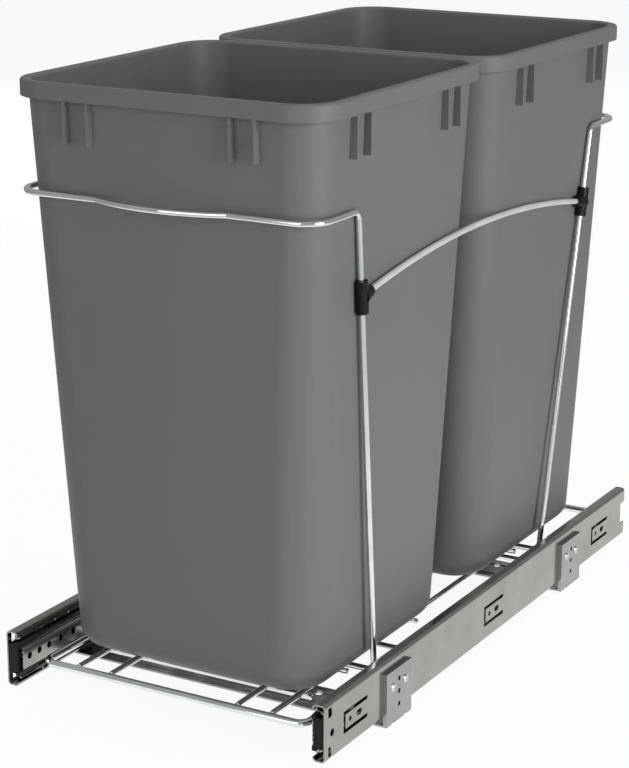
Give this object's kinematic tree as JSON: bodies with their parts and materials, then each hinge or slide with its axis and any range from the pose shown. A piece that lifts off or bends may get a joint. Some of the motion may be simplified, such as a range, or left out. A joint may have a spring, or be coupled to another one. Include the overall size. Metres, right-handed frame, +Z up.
{
  "type": "pull-out waste bin unit",
  "caption": "Pull-out waste unit: tapered grey bins in a chrome wire cradle on full-extension ball slides, held by cross plates that screw to a cabinet floor.",
  "frame": {"origin": "centre of the footprint, on the cabinet floor under the cross plates", "axes": "+X to the unit's right, +Y to the back of the cabinet, +Z up; the unit pulls out along -Y"},
  "size_m": [0.294, 0.559, 0.4801],
  "materials": {
    "zinc_steel": "satin zinc plating",
    "dull_steel": "dull plated steel",
    "rivet_steel": "bright plated steel",
    "ball_steel": "polished bearing steel",
    "chrome_wire": "bright chrome plate",
    "satin_wire": "satin plated wire",
    "black_plastic": "black moulded plastic",
    "bin_plastic": "grey moulded plastic, fine satin"
  },
  "bodies": {
    "base": {"outer_slide_left": "zinc_steel", "outer_slide_right": "zinc_steel", "front_cross_plate": "dull_steel", "rear_cross_plate": "dull_steel", "ear_rivets": "rivet_steel"},
    "middle_left": {"middle_slide_left": "zinc_steel"},
    "middle_right": {"middle_slide_right": "zinc_steel"},
    "outer_cage_left": {"outer_cage_left": "dull_steel", "outer_balls_left": "ball_steel"},
    "outer_cage_right": {"outer_cage_right": "dull_steel", "outer_balls_right": "ball_steel"},
    "inner_cage_left": {"inner_cage_left": "dull_steel", "inner_balls_left": "ball_steel"},
    "inner_cage_right": {"inner_cage_right": "dull_steel", "inner_balls_right": "ball_steel"},
    "bin_front": {"bin_front": "bin_plastic"},
    "bin_rear": {"bin_rear": "bin_plastic"},
    "carriage": {"inner_slide_left": "zinc_steel", "slide_bumper_left": "black_plastic", "side_brace_left": "satin_wire", "tee_front_left": "black_plastic", "mounting_tab_front_left": "dull_steel", "tee_rear_left": "black_plastic", "mounting_tab_rear_left": "dull_steel", "inner_slide_right": "zinc_steel", "slide_bumper_right": "black_plastic", "side_brace_right": "satin_wire", "tee_front_right": "black_plastic", "mounting_tab_front_right": "dull_steel", "tee_rear_right": "black_plastic", "mounting_tab_rear_right": "dull_steel", "base_ring": "chrome_wire", "rest_wire_front": "chrome_wire", "rest_wire_rear": "chrome_wire", "front_loop": "chrome_wire", "rear_loop": "chrome_wire", "tab_screws": "rivet_steel", "floor_wire_1": "chrome_wire", "under_wire_1": "chrome_wire", "floor_wire_2": "chrome_wire", "under_wire_2": "chrome_wire", "floor_wire_3": "chrome_wire", "under_wire_3": "chrome_wire", "floor_wire_4": "chrome_wire", "under_wire_4": "chrome_wire"}
  },
  "joints": [
    {"name": "pull_out", "type": "slide", "parent": "base", "child": "carriage", "axis": [0, -1, 0], "range_m": [0, 0.559]},
    {"name": "middle_left_run", "type": "slide", "parent": "base", "child": "middle_left", "axis": [0, -1, 0], "range_m": [0, 0.28]},
    {"name": "middle_right_run", "type": "slide", "parent": "base", "child": "middle_right", "axis": [0, -1, 0], "range_m": [0, 0.28]},
    {"name": "outer_cage_left_run", "type": "slide", "parent": "base", "child": "outer_cage_left", "axis": [0, -1, 0], "range_m": [0, 0.14]},
    {"name": "outer_cage_right_run", "type": "slide", "parent": "base", "child": "outer_cage_right", "axis": [0, -1, 0], "range_m": [0, 0.14]},
    {"name": "inner_cage_left_run", "type": "slide", "parent": "base", "child": "inner_cage_left", "axis": [0, -1, 0], "range_m": [0, 0.42]},
    {"name": "inner_cage_right_run", "type": "slide", "parent": "base", "child": "inner_cage_right", "axis": [0, -1, 0], "range_m": [0, 0.42]},
    {"name": "lift_out_bin_front", "type": "slide", "parent": "carriage", "child": "bin_front", "axis": [0, 0, 1], "range_m": [0, 0.4]},
    {"name": "lift_out_bin_rear", "type": "slide", "parent": "carriage", "child": "bin_rear", "axis": [0, 0, 1], "range_m": [0, 0.4]}
  ],
  "couplings": [
    {"joint": "middle_left_run", "follows": "pull_out", "ratio": 0.5},
    {"joint": "middle_right_run", "follows": "pull_out", "ratio": 0.5},
    {"joint": "outer_cage_left_run", "follows": "pull_out", "ratio": 0.25},
    {"joint": "outer_cage_right_run", "follows": "pull_out", "ratio": 0.25},
    {"joint": "inner_cage_left_run", "follows": "pull_out", "ratio": 0.75},
    {"joint": "inner_cage_right_run", "follows": "pull_out", "ratio": 0.75}
  ]
}
